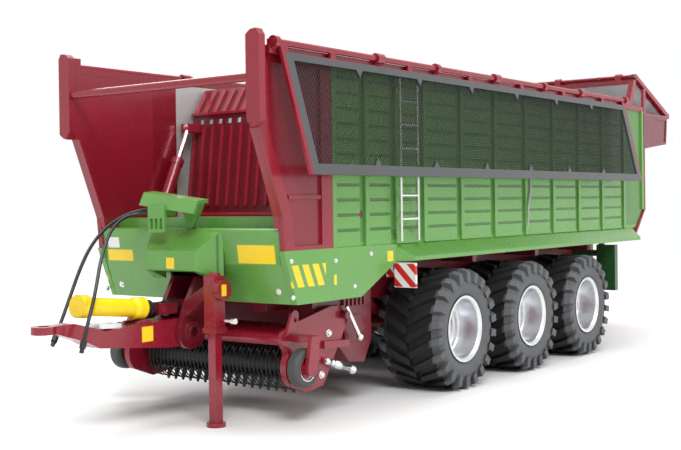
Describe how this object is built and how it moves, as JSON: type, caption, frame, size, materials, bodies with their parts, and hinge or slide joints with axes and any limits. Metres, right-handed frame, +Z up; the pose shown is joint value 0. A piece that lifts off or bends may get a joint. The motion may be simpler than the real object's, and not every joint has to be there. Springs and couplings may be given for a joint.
{
  "type": "model forage wagon",
  "caption": "1:32 scale model of a three-axle forage wagon: tall open body with side covers that fold over it, pickup, articulated drawbar, jack and rear tailgate.",
  "frame": {"origin": "on the ground, under the middle of the overall box", "axes": "+Z up, -Y towards the drawbar, +X the wagon's left side"},
  "size_m": [0.09, 0.349, 0.1195],
  "materials": {
    "tyre": "matt moulded rubber",
    "rim": "polished silver",
    "green_paint": "satin bright green",
    "red_paint": "satin dark red",
    "chassis_paint": "satin dark red",
    "cover_paint": "satin dark grey",
    "mesh": "matt black mesh",
    "light_mesh": "light grey mesh",
    "bright_steel": "bright",
    "floor_paint": "satin light silver",
    "board_white": "white with red stripes",
    "guard_plastic": "glossy yellow",
    "black_plastic": "matt black",
    "hose_rubber": "satin black"
  },
  "bodies": {
    "root": {"axle_front": "chassis_paint", "axle_middle": "chassis_paint", "axle_rear": "chassis_paint", "body_floor": "floor_paint", "chassis_frame": "chassis_paint", "drawbar_neck": "red_paint", "front_crossbar": "red_paint", "front_side_left": "red_paint", "front_side_right": "red_paint", "hazard_boards": "board_white", "head_posts": "red_paint", "hood": "green_paint", "hose_bracket": "green_paint", "hose_inner": "hose_rubber", "hose_outer": "hose_rubber", "hose_plug_inner": "hose_rubber", "hose_plug_outer": "hose_rubber", "jack_tube": "red_paint", "ladder": "bright_steel", "lamp_bar": "green_paint", "leaf_springs": "chassis_paint", "ram_seat": "red_paint", "rear_bow": "red_paint", "rotor_housing": "red_paint", "side_wall_left": "green_paint", "side_wall_right": "green_paint", "sills": "green_paint", "skirts": "green_paint", "top_rail_left": "red_paint", "top_rail_right": "red_paint"},
    "wheel_front_left": {"tyre_front_left": "tyre", "rim_front_left": "rim"},
    "wheel_front_right": {"tyre_front_right": "tyre", "rim_front_right": "rim"},
    "wheel_middle_left": {"tyre_middle_left": "tyre", "rim_middle_left": "rim"},
    "wheel_middle_right": {"tyre_middle_right": "tyre", "rim_middle_right": "rim"},
    "wheel_rear_left": {"tyre_rear_left": "tyre", "rim_rear_left": "rim"},
    "wheel_rear_right": {"tyre_rear_right": "tyre", "rim_rear_right": "rim"},
    "gauge_wheel_left": {"gauge_wheel_left": "tyre"},
    "gauge_wheel_right": {"gauge_wheel_right": "tyre"},
    "pickup": {"pickup_frame": "red_paint"},
    "tine_reel": {"tine_reel": "black_plastic"},
    "crop_roller": {"crop_roller": "red_paint"},
    "tailgate": {"tailgate": "red_paint", "tail_mesh": "light_mesh"},
    "cover_left": {"cover_frame_left": "cover_paint", "cover_mesh_left": "mesh"},
    "cover_right": {"cover_frame_right": "cover_paint", "cover_mesh_right": "mesh"},
    "headboard": {"headboard": "red_paint"},
    "ram_barrel": {"ram_barrel": "red_paint"},
    "ram_rod": {"ram_rod": "bright_steel"},
    "drawbar": {"drawbar": "red_paint"},
    "pto_shaft": {"pto_guard": "guard_plastic", "pto_joint": "black_plastic"},
    "jack_leg": {"jack_leg": "red_paint"}
  },
  "joints": [
    {"name": "wheel_front_left_spin", "type": "hinge", "parent": "root", "child": "wheel_front_left", "pos_m": [0.0332, -0.034, 0.02], "axis": [1, 0, 0], "continuous": true},
    {"name": "wheel_front_right_spin", "type": "hinge", "parent": "root", "child": "wheel_front_right", "pos_m": [-0.0332, -0.034, 0.02], "axis": [1, 0, 0], "continuous": true},
    {"name": "wheel_middle_left_spin", "type": "hinge", "parent": "root", "child": "wheel_middle_left", "pos_m": [0.0332, 0.0145, 0.02], "axis": [1, 0, 0], "continuous": true},
    {"name": "wheel_middle_right_spin", "type": "hinge", "parent": "root", "child": "wheel_middle_right", "pos_m": [-0.0332, 0.0145, 0.02], "axis": [1, 0, 0], "continuous": true},
    {"name": "wheel_rear_left_spin", "type": "hinge", "parent": "root", "child": "wheel_rear_left", "pos_m": [0.0332, 0.063, 0.02], "axis": [1, 0, 0], "continuous": true},
    {"name": "wheel_rear_right_spin", "type": "hinge", "parent": "root", "child": "wheel_rear_right", "pos_m": [-0.0332, 0.063, 0.02], "axis": [1, 0, 0], "continuous": true},
    {"name": "pickup_lift", "type": "hinge", "parent": "root", "child": "pickup", "pos_m": [0, -0.086, 0.0288], "axis": [1, 0, 0], "range_deg": [0, 36]},
    {"name": "gauge_wheel_left_spin", "type": "hinge", "parent": "pickup", "child": "gauge_wheel_left", "pos_m": [0.036, -0.1106, 0.0162], "axis": [1, 0, 0], "continuous": true},
    {"name": "gauge_wheel_right_spin", "type": "hinge", "parent": "pickup", "child": "gauge_wheel_right", "pos_m": [-0.036, -0.1106, 0.0162], "axis": [1, 0, 0], "continuous": true},
    {"name": "tine_reel_spin", "type": "hinge", "parent": "pickup", "child": "tine_reel", "pos_m": [0, -0.101, 0.015], "axis": [1, 0, 0], "continuous": true},
    {"name": "crop_roller_spin", "type": "hinge", "parent": "pickup", "child": "crop_roller", "pos_m": [0, -0.1122, 0.024], "axis": [1, 0, 0], "continuous": true},
    {"name": "tailgate_lift", "type": "hinge", "parent": "root", "child": "tailgate", "pos_m": [0, 0.131, 0.1178], "axis": [1, 0, 0], "range_deg": [0, 80]},
    {"name": "cover_left_swing", "type": "hinge", "parent": "root", "child": "cover_left", "pos_m": [0.0403, 0, 0.1053], "axis": [0, -1, 0], "range_deg": [0, 259]},
    {"name": "cover_right_swing", "type": "hinge", "parent": "root", "child": "cover_right", "pos_m": [-0.0403, 0, 0.1053], "axis": [0, 1, 0], "range_deg": [0, 259]},
    {"name": "headboard_tilt", "type": "hinge", "parent": "root", "child": "headboard", "pos_m": [0, -0.0829, 0.0588], "axis": [1, 0, 0], "range_deg": [0, 18]},
    {"name": "ram_swing", "type": "hinge", "parent": "root", "child": "ram_barrel", "pos_m": [-0.0326, -0.097, 0.0612], "axis": [1, 0, 0], "range_deg": [0, 16.95]},
    {"name": "ram_slide", "type": "slide", "parent": "ram_barrel", "child": "ram_rod", "axis": [0, 0.424, 0.9057], "range_m": [-0.00454, 0]},
    {"name": "drawbar_pivot", "type": "hinge", "parent": "root", "child": "drawbar", "pos_m": [0, -0.1225, 0.0258], "axis": [1, 0, 0], "range_deg": [0, 12]},
    {"name": "pto_swing", "type": "hinge", "parent": "root", "child": "pto_shaft", "pos_m": [0, -0.1317, 0.033], "axis": [1, 0, 0], "range_deg": [0, 12]},
    {"name": "jack_slide", "type": "slide", "parent": "root", "child": "jack_leg", "axis": [0, 0, 1], "range_m": [0, 0.012]}
  ],
  "couplings": [
    {"joint": "ram_swing", "follows": "headboard_tilt", "ratio": 0.93631},
    {"joint": "ram_slide", "follows": "headboard_tilt", "m_per_rad": -0.014139},
    {"joint": "pto_swing", "follows": "drawbar_pivot", "ratio": 1}
  ]
}
